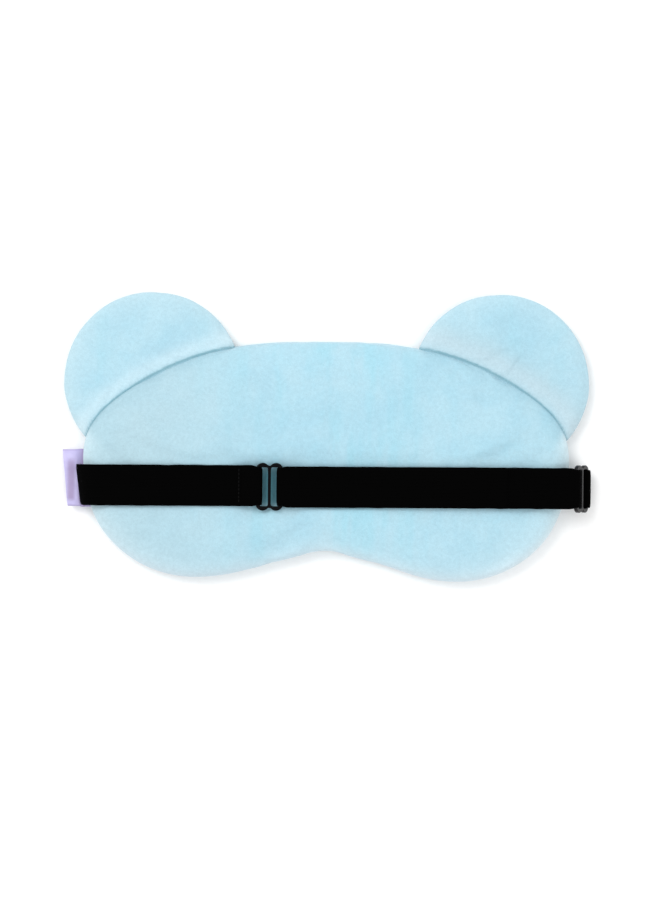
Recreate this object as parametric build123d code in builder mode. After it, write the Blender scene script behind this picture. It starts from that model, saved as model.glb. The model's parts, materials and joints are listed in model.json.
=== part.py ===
from build123d import *
from math import acos, atan2, cos, degrees, hypot, radians, sin
import os

# Plush sleep mask with two round ears and an adjustable elastic strap, lying on its front face.
# X runs from the sewn end of the strap to its side slider, Y from the nose notch to the ears and
# Z is up.
# The origin is at the middle of the footprint, on the surface that the mask lies on.
# Plan dimensions are given from the point where the strap crosses the centre line.

os.makedirs("parts", exist_ok=True)

# Driving dimensions, in millimetres
STRAP_Y = -21.6         # centre line of the strap in the part's frame
STRAP_WIDTH = 18.0      # standard flat elastic
LOOP_WIDTH = 16.2       # the elastic where the sliders draw it in
BAND = 1.0              # thickness of the elastic
EASE = 0.05             # clearance between pieces that touch
OVERRUN = 1.0           # how far a cut runs past the body that it cuts

HALF_OUTLINE = [        # right half of the mask, from the top of the centre line to the nose notch
    (0, 64.6), (50, 60.2), (88, 42.8), (105.8, 23.5), (107, 4), (99, -20.5),
    (79, -37.2), (56, -41.9), (36, -38.4), (20, -33.4), (6, -29.5), (0, -28.8),
]
PAD_TOP = 13.0          # back of the mask at the strap
SEAM_Z = 5.0            # height of the seam between the two face panels
BACK_EDGE = 7.9         # rounding of the back panel's rim
FRONT_EDGE = 4.9        # rounding of the front panel's rim
SKIN = 1.2              # velvet and its backing
SLACK = 0.3             # between a cover and its filling
SEAM_DEPTH = 5.0        # width of the seam allowance inside the cover
ALLOWANCE = 0.9         # thickness of one layer of seam allowance
ALLOWANCE_ROOM = 0.36   # between the seam allowance and the filling
STITCH_INSET = 2.2      # from the rim to the stitching of the seam
LINING = 0.6            # blackout lining
LINING_INSET = 4.5
THREAD = 0.4
TAIL_ROOM = 108.6       # how far out the side seams are open for the tails sewn into them

EAR_X, EAR_Y, EAR_R = 75.2, 46.2, 38.9
EAR_BOTTOM, EAR_TOP, EAR_EDGE = 1.0, 9.0, 3.6
EAR_SKIN = 1.0
EAR_SEAM = 3.0          # width of the ears' own seam allowance
EAR_ALLOWANCE = 0.6
EAR_STITCH_INSET = 2.6
EAR_FLANGE = 0.8        # thickness of one layer of an ear's base, sewn flat into the mask's seam
EAR_FLANGE_INSET = 1.5
EAR_GAP = 0.3           # crease between an ear and the mask

SLIDER_WIDTH, SLIDER_HEIGHT = 12.0, 20.9
SLIDER_X, SLIDER_Z = -24.7, 15.3
SLIDER_WIRE = 1.7
SLIDER_MIDDLE = 1.33    # width of the middle bar
SLIDER_WINDOW = 17.0    # length of its two windows
WINDOW_CORNER = 0.8
SLIDER_EDGE = 0.35      # rounding of its edges
SLIDER_NOTCH = 1.2      # rounding of the notches between its two loops
LOOP_PITCH = 5.9        # between the crowns of the loops

TURN_UP = 0.7           # bend of the strap where it comes out of the left seam
ANCHOR_REACH = 9.0      # how far it comes out past the pad's shoulder
LEG_ROOM = 2.3          # strap that lies flat on the pad, inside the shoulders
FOLD_LENGTH = 16.2      # from a slider's bar to where its fold meets the band
FOLD_BEND = 6.0
HEM_LENGTH = 9.0        # sewn end of the elastic, turned under the left bar
RISE = 2.4              # run of band that lies flat before it climbs to the bar
TACK_THREADS, TACK_LENGTH = 9, 1.8

TAB = 0.9               # thickness of the tape that holds the side slider
TAB_BAR = (114.95, 5.9) # x and z of the bar that the tape goes round
TAB_TURN = 108.4        # where the tape's two legs part outside the seam
TAB_FLAT = 1.6          # run of tape beside the bar
TAB_BEND = 1.5
STRAP_BAR_X = 109.6     # x of the side slider's other bar, in the loop of the strap

LABEL_EDGE, LABEL_Y, LABEL_LENGTH = -116.6, 4.4, 25.6
LABEL = 0.4
STRAP_TAIL_Z = 5.25     # middle of the strap's tail in the left seam

# Strap layers: the lower one lies just over the mask, the upper one on the lower
LOWER = PAD_TOP + SLACK + EASE + BAND / 2
UPPER = LOWER + BAND + 2 * EASE
PAD_SHOULDER = 107.2 - BACK_EDGE        # where the top of the pad starts to round over, at the strap
TAIL_END = 102.0                        # inner end of everything that is sewn into the side seams
LABEL_TOP = STRAP_TAIL_Z - BAND / 2 - EASE
LABEL_BOTTOM = LABEL_TOP - 2 * LABEL - 2 * EASE

SIDE = Plane(origin=(0, STRAP_Y, 0), x_dir=(1, 0, 0), z_dir=(0, -1, 0))


def level(z):
    """The plan view at height z."""
    return Plane(origin=(0, STRAP_Y, z))


def save(piece, node):
    piece.part.label = node
    export_step(piece.part, f"parts/{node}.step")


half_rim = Spline(HALF_OUTLINE, tangents=((1, 0), (-1, 0)))
RIM_STEPS = 26          # spans of the half outline where it is taken in or let out


def rim_point(step, inset):
    """A point of the half outline, moved square to it by inset."""
    place = half_rim @ (step / RIM_STEPS)
    along = half_rim % (step / RIM_STEPS)
    return (place.X + inset * along.Y, place.Y - inset * along.X)


def pad_slab(inset, bottom, top):
    """The mask's outline, taken in by inset, as an upright slab."""
    with BuildPart() as slab:
        with BuildSketch(level(bottom)):
            with BuildLine():
                Spline([rim_point(step, inset) for step in range(RIM_STEPS + 1)],
                       tangents=((1, 0), (-1, 0)))
                mirror(about=Plane.YZ)
            make_face()
        extrude(amount=top - bottom)
    return slab.part


def pad_form(inset):
    """The stuffed mask with its rounded rims, taken in by inset all over."""
    with BuildPart() as form:
        add(pad_slab(inset, inset, PAD_TOP - inset))
        fillet(form.edges().group_by(Axis.Z)[0], FRONT_EDGE - inset)
        fillet(form.edges().group_by(Axis.Z)[-1], BACK_EDGE - inset)
    return form.part


def pad_ring(outer, inner, half_height):
    """A flat ring at the seam, between two insets of the mask's outline."""
    with BuildPart() as ring_form:
        add(pad_slab(outer, SEAM_Z - half_height, SEAM_Z + half_height))
        add(pad_slab(inner, SEAM_Z - half_height - OVERRUN, SEAM_Z + half_height + OVERRUN),
            mode=Mode.SUBTRACT)
    return ring_form.part


def ear_disc(side, radius, bottom, top):
    with BuildPart() as disc:
        with BuildSketch(level(bottom)):
            with Locations((side * EAR_X, EAR_Y)):
                Circle(radius)
        extrude(amount=top - bottom)
    return disc.part


def ear_form(side, inset, mask):
    """The stuffed ear, taken in by inset, with its base cut to the side of the mask."""
    with BuildPart() as form:
        add(ear_disc(side, EAR_R - inset, EAR_BOTTOM + inset, EAR_TOP - inset))
        fillet(form.edges().filter_by(GeomType.CIRCLE), EAR_EDGE - inset)
        add(mask, mode=Mode.SUBTRACT)
    return form.part


def ear_rim(side, outer, inner, half_height, mask):
    """A flat ring at the ear's own seam, between two insets of its outline."""
    low, high = SEAM_Z - half_height, SEAM_Z + half_height
    with BuildPart() as rim:
        add(ear_disc(side, EAR_R - outer, low, high))
        add(ear_disc(side, EAR_R - inner, low - OVERRUN, high + OVERRUN), mode=Mode.SUBTRACT)
        add(mask, mode=Mode.SUBTRACT)
    return rim.part


def ear_flange(side, band, grow=0.0):
    """The base of an ear, sewn flat into the seam of the mask."""
    low, high = SEAM_Z - EAR_FLANGE - grow, SEAM_Z + EAR_FLANGE + grow
    with BuildPart() as flange:
        add(ear_disc(side, EAR_R - EAR_FLANGE_INSET + grow, low, high))
        add(band, mode=Mode.INTERSECT)
    return flange.part


def seam_slot(side, y, length, low, high):
    """Room in a side seam for a tail that is sewn into it, with clearance all round."""
    with BuildPart() as slot:
        with BuildSketch(level(low - EASE)):
            with Locations((side * (TAIL_ROOM + TAIL_END) / 2, y)):
                Rectangle(TAIL_ROOM - TAIL_END + 2 * EASE, length + 2 * EASE)
        extrude(amount=high - low + 2 * EASE)
    return slot.part


# ---- The mask ------------------------------------------------------------------------------

mask_outside = pad_form(0)
ear_cutter = pad_form(-EAR_GAP)
ear_base = pad_form(-EAR_GAP - EAR_SKIN)
ear_stuffing_base = pad_form(-EAR_GAP - EAR_SKIN - SLACK)
flange_band = pad_ring(-EAR_GAP - EAR_SKIN / 2, SEAM_DEPTH, SEAM_Z / 2)
slot_band = pad_ring(-EAR_GAP - EAR_SKIN, SEAM_DEPTH + 2 * EASE, SEAM_Z / 2)

with BuildPart() as cover:              # both face panels, before they part at the seam
    add(mask_outside)
    add(pad_form(SKIN), mode=Mode.SUBTRACT)
    add(pad_ring(SKIN / 2, SEAM_DEPTH, ALLOWANCE))
    for ear_side in (-1, 1):
        add(ear_flange(ear_side, slot_band, EASE), mode=Mode.SUBTRACT)
    add(seam_slot(-1, 0, STRAP_WIDTH, STRAP_TAIL_Z - BAND / 2, STRAP_TAIL_Z + BAND / 2),
        mode=Mode.SUBTRACT)
    add(seam_slot(-1, LABEL_Y, LABEL_LENGTH, LABEL_BOTTOM, LABEL_TOP), mode=Mode.SUBTRACT)
    add(seam_slot(1, 0, LOOP_WIDTH, SEAM_Z - TAB, SEAM_Z + TAB), mode=Mode.SUBTRACT)

with BuildPart() as back_panel:
    add(cover.part)
    split(bisect_by=Plane.XY.offset(SEAM_Z), keep=Keep.TOP)
save(back_panel, "back_panel")

with BuildPart() as front_panel:
    add(cover.part)
    split(bisect_by=Plane.XY.offset(SEAM_Z), keep=Keep.BOTTOM)
save(front_panel, "front_panel")

with BuildPart() as blackout_lining:
    add(pad_slab(LINING_INSET, SKIN + EASE, SKIN + EASE + LINING))
save(blackout_lining, "blackout_lining")

with BuildPart() as filling:
    add(pad_form(SKIN + SLACK))
    split(bisect_by=Plane.XY.offset(SKIN + LINING + 2 * EASE), keep=Keep.TOP)
    add(pad_ring(-OVERRUN, SEAM_DEPTH + OVERRUN, ALLOWANCE + ALLOWANCE_ROOM), mode=Mode.SUBTRACT)
save(filling, "filling")

with BuildPart() as perimeter_thread:   # the sewing thread of the seam, inside the cover
    add(pad_ring(STITCH_INSET, STITCH_INSET + THREAD, THREAD))
save(perimeter_thread, "perimeter_thread")

# ---- The ears ------------------------------------------------------------------------------

for name, ear_side in (("left_ear", -1), ("right_ear", 1)):
    with BuildPart() as ear_cover:      # both panels of one ear, before they part at the seam
        add(ear_form(ear_side, 0, ear_cutter))
        add(ear_form(ear_side, EAR_SKIN, ear_base), mode=Mode.SUBTRACT)
        add(ear_rim(ear_side, EAR_SKIN / 2, EAR_SKIN + EAR_SEAM, EAR_ALLOWANCE, ear_cutter))
        add(ear_flange(ear_side, flange_band))

    with BuildPart() as ear_back:
        add(ear_cover.part)
        split(bisect_by=Plane.XY.offset(SEAM_Z), keep=Keep.TOP)
    save(ear_back, f"{name}_back")

    with BuildPart() as ear_front:
        add(ear_cover.part)
        split(bisect_by=Plane.XY.offset(SEAM_Z), keep=Keep.BOTTOM)
    save(ear_front, f"{name}_front")

    with BuildPart() as ear_filling:
        add(ear_form(ear_side, EAR_SKIN + SLACK, ear_stuffing_base))
        add(ear_rim(ear_side, -OVERRUN, EAR_SKIN + EAR_SEAM + SLACK, EAR_ALLOWANCE + 2 * EASE,
                    ear_base), mode=Mode.SUBTRACT)
    save(ear_filling, f"{name}_filling")

    with BuildPart() as ear_thread:
        add(ear_rim(ear_side, EAR_STITCH_INSET, EAR_STITCH_INSET + THREAD, THREAD / 2, ear_base))
    save(ear_thread, f"{name}_thread")

# ---- The sliders ---------------------------------------------------------------------------

outer_bar = (SLIDER_WIDTH - SLIDER_WIRE) / 2            # outer bars, from the middle of a slider
window_width = (SLIDER_WIDTH - SLIDER_MIDDLE) / 2 - SLIDER_WIRE
window_x = (SLIDER_MIDDLE + window_width) / 2


def slider_form(plane):
    """A slider of two windows about the plane's origin, with its bars along the plane's Y."""
    with BuildPart() as form:
        with BuildSketch(plane.offset(-SLIDER_WIRE / 2)) as plan:
            with Locations((-LOOP_PITCH / 2, 0), (LOOP_PITCH / 2, 0)):
                SlotOverall(SLIDER_HEIGHT, SLIDER_WIDTH - LOOP_PITCH, rotation=90)
            notches = plan.vertices().sort_by(lambda corner: abs(corner.X))[:2]
            fillet(notches, SLIDER_NOTCH)
            with Locations((-window_x, 0), (window_x, 0)):
                RectangleRounded(window_width, SLIDER_WINDOW, WINDOW_CORNER, mode=Mode.SUBTRACT)
        extrude(amount=SLIDER_WIRE)
        fillet(form.edges().filter_by(plane), SLIDER_EDGE)
    return form.part


with BuildPart() as slider:             # the adjuster, lying flat in the strap's path
    add(slider_form(Plane(origin=(SLIDER_X, STRAP_Y, SLIDER_Z))))
save(slider, "slider")

tab_x, tab_z = TAB_BAR
lean = acos((tab_x - STRAP_BAR_X) / (2 * outer_bar))    # of the side slider, from flat
strap_bar = (STRAP_BAR_X, tab_z + 2 * outer_bar * sin(lean))
side_plane = Plane(origin=((tab_x + strap_bar[0]) / 2, STRAP_Y, (tab_z + strap_bar[1]) / 2),
                   x_dir=(cos(lean), 0, -sin(lean)), z_dir=(sin(lean), 0, cos(lean)))

with BuildPart() as side_slider:        # the same fitting, standing at the right rim in its tab
    add(slider_form(side_plane))
save(side_slider, "side_slider")

# ---- The strap, from the left seam to the side slider ----------------------------------------

anchor_x = -(PAD_SHOULDER + ANCHOR_REACH)

with BuildPart() as strap_anchor:
    with BuildSketch(SIDE):
        with BuildLine():
            Line((-TAIL_END, STRAP_TAIL_Z), (anchor_x, STRAP_TAIL_Z))
            JernArc((anchor_x, STRAP_TAIL_Z), (-1, 0), TURN_UP, -90)
            EllipticalCenterArc((-PAD_SHOULDER, STRAP_TAIL_Z + TURN_UP), ANCHOR_REACH + TURN_UP,
                                LOWER - STRAP_TAIL_Z - TURN_UP, start_angle=90, arc_size=90)
            Line((-PAD_SHOULDER, LOWER), (-PAD_SHOULDER + LEG_ROOM, LOWER))
        trace(line_width=BAND)
    extrude(amount=STRAP_WIDTH / 2, both=True)
save(strap_anchor, "strap_anchor")

left_bar = SLIDER_X - outer_bar
right_bar = SLIDER_X + outer_bar
flat_half = SLIDER_WIRE / 2 - SLIDER_EDGE
bar_reach = hypot(flat_half, flat_half) + SLIDER_EDGE + EASE    # from a bar's middle past its corners
wrap = bar_reach + BAND / 2                                     # the elastic's middle, round a bar
over, under = SLIDER_Z + wrap, SLIDER_Z - wrap

with BuildPart() as strap_left_band:
    with BuildSketch(SIDE):
        with BuildLine():
            Line((-PAD_SHOULDER + LEG_ROOM, LOWER), (left_bar - FOLD_LENGTH, LOWER))
        trace(line_width=BAND)
    extrude(amount=STRAP_WIDTH / 2, both=True)
save(strap_left_band, "strap_left_band")

with BuildPart() as strap_left_fold:    # over the left bar, down its window and back under it
    with BuildSketch(SIDE):
        with BuildLine():
            FilletPolyline((left_bar - FOLD_LENGTH, LOWER), (left_bar - FOLD_LENGTH + RISE, LOWER),
                           (left_bar - RISE, over), (left_bar, over), radius=FOLD_BEND)
            CenterArc((left_bar, SLIDER_Z), wrap, 90, -180)
            Line((left_bar, under), (left_bar - HEM_LENGTH, under))
        trace(line_width=BAND)
    extrude(amount=LOOP_WIDTH / 2, both=True)
save(strap_left_fold, "strap_left_fold")

with BuildPart() as strap_right_fold:   # the loop of the doubled band, round the right bar
    with BuildSketch(SIDE):
        with BuildLine():
            FilletPolyline((right_bar + FOLD_LENGTH, UPPER), (right_bar + FOLD_LENGTH - RISE, UPPER),
                           (right_bar + RISE, over), (right_bar, over), radius=FOLD_BEND)
            CenterArc((right_bar, SLIDER_Z), wrap, 90, 180)
            Line((right_bar, under), (right_bar + HEM_LENGTH, under))
        trace(line_width=BAND)
    extrude(amount=LOOP_WIDTH / 2, both=True)
save(strap_right_fold, "strap_right_fold")

tack_slope = atan2(over - LOWER, FOLD_LENGTH - 2 * RISE)
tack_plane = Plane(origin=(left_bar - FOLD_LENGTH / 2, STRAP_Y, (LOWER + over) / 2),
                   x_dir=(cos(tack_slope), 0, sin(tack_slope)), z_dir=(0, -1, 0))
tack_pitch = LOOP_WIDTH / TACK_THREADS

with BuildPart() as hem_tack:           # row of stitches that holds the hem to the band above it
    with Locations(tack_plane):
        with Locations(*[(0, BAND / 2, (index - (TACK_THREADS - 1) / 2) * tack_pitch)
                         for index in range(TACK_THREADS)]):
            Box(TACK_LENGTH, THREAD, THREAD)
save(hem_tack, "hem_tack")

with BuildPart() as strap_upper_band:
    with BuildSketch(SIDE):
        with BuildLine():
            Line((right_bar + FOLD_LENGTH, UPPER), (PAD_SHOULDER - LEG_ROOM, UPPER))
        trace(line_width=BAND)
    extrude(amount=STRAP_WIDTH / 2, both=True)
save(strap_upper_band, "strap_upper_band")

with BuildPart() as strap_lower_band:
    with BuildSketch(SIDE):
        with BuildLine():
            Line((right_bar + HEM_LENGTH, under), (PAD_SHOULDER - LEG_ROOM, under))
        trace(line_width=BAND)
    extrude(amount=STRAP_WIDTH / 2, both=True)
save(strap_lower_band, "strap_lower_band")


def round_bar(radius, angle):
    """The point at an angle round the side slider's upper bar, in the side view."""
    return (strap_bar[0] + radius * cos(radians(angle)), strap_bar[1] + radius * sin(radians(angle)))


def tangent_angle(start, side):
    """Angle, round that bar, where the elastic from start meets it; side is 1 above, -1 below."""
    run, rise = start[0] - strap_bar[0], start[1] - strap_bar[1]
    return degrees(atan2(rise, run)) - side * degrees(acos(wrap / hypot(run, rise)))


leg_end = PAD_SHOULDER - LEG_ROOM + 1   # the legs lie flat up to here, then run free to the bar
upper_angle = tangent_angle((leg_end, UPPER), 1)
lower_angle = tangent_angle((leg_end, under), -1)

with BuildPart() as strap_side_fold:    # the doubled band, looped round the side slider's upper bar
    with BuildSketch(SIDE):
        with BuildLine():
            Line((PAD_SHOULDER - LEG_ROOM, UPPER), (leg_end, UPPER))
            Line((leg_end, UPPER), round_bar(wrap, upper_angle))
            CenterArc(strap_bar, wrap, upper_angle, (lower_angle - upper_angle) % -360)
            Line(round_bar(wrap, lower_angle), (leg_end, under))
            Line((leg_end, under), (PAD_SHOULDER - LEG_ROOM, under))
        trace(line_width=BAND)
    extrude(amount=LOOP_WIDTH / 2, both=True)
save(strap_side_fold, "strap_side_fold")

# ---- The tab, folded round the side slider's lower bar with both ends in the seam -------------

tab_wrap = bar_reach + TAB / 2
tab_leg = (TAB + EASE) / 2              # from the seam to the middle of either leg

with BuildPart() as side_tab:
    with BuildSketch(SIDE):
        with BuildLine():
            FilletPolyline((TAIL_END, SEAM_Z + tab_leg), (TAB_TURN, SEAM_Z + tab_leg),
                           (tab_x - TAB_FLAT, tab_z + tab_wrap), (tab_x, tab_z + tab_wrap),
                           radius=TAB_BEND)
            CenterArc(TAB_BAR, tab_wrap, 90, -180)
            FilletPolyline((tab_x, tab_z - tab_wrap), (tab_x - TAB_FLAT, tab_z - tab_wrap),
                           (TAB_TURN, SEAM_Z - tab_leg), (TAIL_END, SEAM_Z - tab_leg),
                           radius=TAB_BEND)
        trace(line_width=TAB)
    extrude(amount=LOOP_WIDTH / 2, both=True)
save(side_tab, "side_tab")

# ---- The side label, folded in two and sewn into the left seam --------------------------------

label_side = Plane(origin=(0, STRAP_Y + LABEL_Y, 0), x_dir=(1, 0, 0), z_dir=(0, -1, 0))
fold_radius = (LABEL_TOP - LABEL_BOTTOM - LABEL) / 2
fold_x = LABEL_EDGE + LABEL / 2 + fold_radius

with BuildPart() as side_label:
    with BuildSketch(label_side):
        with BuildLine():
            Line((-TAIL_END, LABEL_TOP - LABEL / 2), (fold_x, LABEL_TOP - LABEL / 2))
            JernArc((fold_x, LABEL_TOP - LABEL / 2), (-1, 0), fold_radius, 180)
            Line((fold_x, LABEL_BOTTOM + LABEL / 2), (-TAIL_END, LABEL_BOTTOM + LABEL / 2))
        trace(line_width=LABEL)
    extrude(amount=LABEL_LENGTH / 2, both=True)
save(side_label, "side_label")
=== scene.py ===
import json
from math import acos, atan2, cos, degrees, exp, hypot, pi, radians, sin, sqrt

import bpy
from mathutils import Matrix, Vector, noise
from mathutils.bvhtree import BVHTree
from mathutils.kdtree import KDTree


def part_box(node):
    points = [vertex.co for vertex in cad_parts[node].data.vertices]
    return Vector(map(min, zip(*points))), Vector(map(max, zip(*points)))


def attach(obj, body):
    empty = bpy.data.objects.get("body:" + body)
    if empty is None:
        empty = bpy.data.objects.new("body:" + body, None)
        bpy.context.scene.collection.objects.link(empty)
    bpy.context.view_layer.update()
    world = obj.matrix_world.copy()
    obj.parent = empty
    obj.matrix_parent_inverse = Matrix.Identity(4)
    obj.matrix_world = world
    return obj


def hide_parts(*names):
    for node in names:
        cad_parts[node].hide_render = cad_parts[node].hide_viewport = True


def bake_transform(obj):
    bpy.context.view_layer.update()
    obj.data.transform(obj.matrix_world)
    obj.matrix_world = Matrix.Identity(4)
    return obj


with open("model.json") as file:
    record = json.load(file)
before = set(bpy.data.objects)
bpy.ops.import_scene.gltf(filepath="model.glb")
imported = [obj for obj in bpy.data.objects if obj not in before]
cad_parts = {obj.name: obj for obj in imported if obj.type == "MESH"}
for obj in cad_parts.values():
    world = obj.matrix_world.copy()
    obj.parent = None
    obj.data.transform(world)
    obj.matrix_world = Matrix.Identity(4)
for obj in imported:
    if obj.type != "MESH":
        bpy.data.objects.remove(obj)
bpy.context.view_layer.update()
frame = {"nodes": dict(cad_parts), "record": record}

# A plush sleep mask with two round ears, lying on its front face, seen from above.
# X runs along the strap, Y from the nose notch to the ears, Z up out of the back of the mask.

MM = 0.001

# ---- Sizes that come from the frame ----

def node_middle(node):
    low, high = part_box(node)
    return (low + high) / 2


def node_size(node):
    low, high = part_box(node)
    return high - low


back_low, back_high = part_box("back_panel")
slider_low, slider_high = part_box("slider")
side_low, side_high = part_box("side_slider")
anchor_low, anchor_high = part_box("strap_anchor")
label_low, label_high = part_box("side_label")
tab_low, tab_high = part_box("side_tab")
ear_low, ear_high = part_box("right_ear_front")[0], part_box("right_ear_back")[1]
seam_z = back_low.z
pad_top = back_high.z
pad_middle = Vector(((back_low.x + back_high.x) / 2, (back_low.y + back_high.y) / 2, seam_z))
pad_half = Vector(((back_high.x - back_low.x) / 2, (back_high.y - back_low.y) / 2))
rim_left = back_low.x
strap_y = (slider_low.y + slider_high.y) / 2
slider_x = (slider_low.x + slider_high.x) / 2
wire = slider_high.z - slider_low.z

# ---- Sizes of the soft pieces ----

PAD_RINGS = 34              # rows of cloth from the rim of the mask to its middle
RIM_RINGS = 9               # of them, the rows that round the rim
BACK_ROUND = 10.5 * MM      # how far in from the rim each side of the mask is rounded
FRONT_ROUND = 6.5 * MM
GROOVE = 0.7 * MM           # depth of the seam's groove
GROOVE_RINGS = 1.1          # and the rows of cloth over which it fades
CROWN = 0.9 * MM            # how much the back of the mask rises between the strap and the rim
STRAP_DIP = 1.0 * MM        # how far the strap presses it down again
DIP_HALF = 9 * MM           # and how far to each side of the strap's middle line
HELD_HALF = 8 * MM          # the strap holds the cloth still this far to each side
SEWN_GAP = 0.05 * MM        # cloth this near the seam's level is sewn
HELD_DEPTH = 2 * MM         # and down to this far below the mask's top
REST_GAP = 0.4 * MM         # cloth this near the floor rests on it
FLOOR_GAP = 0.05 * MM       # no cloth is nearer the floor than this
PAD_INSET = 2.3 * MM        # the wadding lies this far inside the mask's cover
PAD_LUMP = 0.4 * MM         # depth of its lumps
RIM_SAMPLES = 720
ABOVE_SEAM = 1.2 * MM       # the rim is still at its widest here, clear of the slots in the seam
LOBE_LIFT = 1.3 * MM        # the lower left of the mask is this much less deep than the right
LOBE_START = 15 * MM        # how far from the middle that begins
LOBE_RUN = 40 * MM          # and how far it takes to grow

EAR_RADIUS = 38.9 * MM
EAR_RINGS = 22
EAR_RIM_RINGS = 6
EAR_REACHES = 360           # directions in which the edge of an ear's cloth is worked out
EAR_MARCH = 0.5 * MM        # step along each of them
EAR_EYE = Vector((15.5 * MM, 20.0 * MM))    # from an ear's centre to the point its cloth spreads from
EAR_SPARE = 0.15 * MM       # cloth outside its finished edge, which the stuffing draws in
EAR_OUT = 1.3 * MM          # how much further out than its CAD solid an ear is pulled
EAR_ROUND = 5.5 * MM        # rounding of an ear's free edge
EAR_RISE = 10.0 * MM        # how far out from the mask an ear takes to fill out
EAR_THIN = 0.20             # share of its thickness that an ear has where it is sewn in
EAR_CROWN = 0.07            # how much thicker its middle is than its edge
EAR_CROWN_RUN = 16 * MM
EAR_TUCK = 2.5 * MM         # how far its base is sewn in behind the mask's rim
EAR_HELD = 0.8 * MM         # the mask's rim holds an ear's cloth still this far out
EAR_INSET = 1.6 * MM        # the wadding lies this far inside an ear's cover
EAR_SLACK = 0.82            # and fills this share of its thickness

LINING_RINGS = 20
LINING_WAVE = 0.12 * MM
STITCH_PITCH = 3.0 * MM
STITCH_LENGTH = 2.4 * MM
HEM_STITCH_LENGTH = 1.3 * MM
STITCH_RADIUS = 0.2 * MM
EAR_STITCHES = 50           # places for stitches round an ear, of which those clear of the mask are used
EAR_STITCH_START = -60      # degrees round the ear where they begin
EAR_STITCH_SWEEP = 240      # how many degrees they take up
EAR_STITCH_SPANS = 49.75    # and how many spans of stitching that is
EAR_STITCH_CLEAR = 1.5 * MM # its stitches stay this far from the mask's rim
HEM_STITCHES = 9
HEM_STITCH_SHARE = 0.9      # share of the band's width that the hem's stitches cross

LEFT_LIFT = 0.45 * MM       # the left band lies this much above the strap's middle line
STRAP_SKEW = 0.0020         # the strap lies a little askew: rise in Y for each unit along X
END_SLANT = 0.125           # lean of its sewn end, where it comes round the rim
END_OUT = 1.0 * MM          # how far outside its CAD solid the elastic swings round the rim
END_RUN = 8 * MM            # length of the band that takes up the lean
SEWN_IN = 5 * MM            # length of its end inside the seam
STRAP_WAVER = 0.16 * MM     # how unevenly the edges of the elastic run
TAPE_WAVER = 0.08 * MM
LABEL_WAVER = 0.06 * MM
WAVER_SIZE = 6 * MM         # length of one waver of an edge
LOOP_EASE = 0.5 * MM        # how much wider the elastic's loops are than their CAD solids
PART_X = 80.0 * MM          # where the doubled band's two modelled lengths meet
HEM = 9.0 * MM              # end of the elastic, turned under the slider's left bar
STEP = 1.3 * MM             # spacing of the rows of vertices along a band
LABEL_STEP = 0.6 * MM       # and along the label
LEVEL_RUN = 2.4 * MM        # flat run of band before it climbs to a slider's bar
PINCH = 2.2 * MM            # length over which the elastic draws in to a slider's window
TURN = 0.7 * MM             # bend of the elastic as it leaves the seam
QUARTER_STEPS = 10          # rows of vertices where it turns over the rim
SIDE_LEG = 1 * MM           # the side loop's legs start this far inside their CAD solid

TAPE = 0.9 * MM             # thickness of the tape that holds the side slider
TAPE_LEG = 0.5 * MM         # half the distance between its two legs' middles
TAPE_PART = 6.5 * MM        # from the bar's middle back to where the tape's two legs part
TAPE_MEET = 1.0 * MM        # and to where the upper leg meets the loop

LABEL_THICK = 0.35 * MM
LABEL_GAP = 0.24 * MM       # half the space between its two leaves' middles
LABEL_DROP = 1.2 * MM       # how far below its CAD solid the label is sewn in
LABEL_SLANT = 0.09          # how far the folded edge leans in, for each unit along it
LABEL_FLARE = 0.6 * MM      # how much longer it is at its folded edge
LABEL_FREE = 4 * MM         # how far outside the seam it has come free
LABEL_RISE = 0.5 * MM       # how far it lifts there, and how it waves
LABEL_WAVE, LABEL_WAVES = 0.35 * MM, 9
STRIPE_OUT, STRIPE_HALF = 5.0 * MM, 1.7 * MM        # its soft stripe: distance from the seam, half width
STRIPE_ABOVE, STRIPE_BELOW = 6.5 * MM, 1.5 * MM     # and how far it stops short of the label's ends
LABEL_SHADE = 1.1 * MM      # how fast the shade beside the seam fades
BAND_STRENGTH = 0.72        # how dark the stripe and the shade are

# ---- Node helpers for the materials ----

def add_node(tree, kind, inputs=None, **settings):
    """A shader node whose inputs are given as values or as other nodes' sockets."""
    node = tree.nodes.new(kind)
    for setting, value in settings.items():
        setattr(node, setting, value)
    for key, value in (inputs or {}).items():
        if isinstance(value, bpy.types.NodeSocket):
            tree.links.new(value, node.inputs[key])
        else:
            node.inputs[key].default_value = value
    return node


def new_material(name):
    material = bpy.data.materials.new(name)
    material.use_nodes = True
    material.node_tree.nodes.clear()
    return material, material.node_tree


def surface(tree, inputs):
    """The material's Principled surface, linked to its output."""
    shader = add_node(tree, "ShaderNodeBsdfPrincipled", inputs)
    output = add_node(tree, "ShaderNodeOutputMaterial")
    tree.links.new(shader.outputs[0], output.inputs["Surface"])


def object_coords(tree, scale=(1, 1, 1), rotation=(0, 0, 0)):
    coords = add_node(tree, "ShaderNodeTexCoord")
    return add_node(tree, "ShaderNodeMapping", {"Vector": coords.outputs["Object"], "Scale": scale,
                                                "Rotation": rotation}).outputs[0]


def noise_field(tree, vector, scale, detail=3.0, roughness=0.55, distortion=0.0):
    return add_node(tree, "ShaderNodeTexNoise",
                    {"Vector": vector, "Scale": scale, "Detail": detail, "Roughness": roughness,
                     "Distortion": distortion}).outputs[0]


def remap(tree, value, low, high, to_low=0.0, to_high=1.0):
    return add_node(tree, "ShaderNodeMapRange",
                    {"Value": value, "From Min": low, "From Max": high, "To Min": to_low,
                     "To Max": to_high}, interpolation_type="SMOOTHSTEP").outputs[0]


def maths(tree, operation, first, second=0.0):
    return add_node(tree, "ShaderNodeMath", {0: first, 1: second}, operation=operation).outputs[0]


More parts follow.
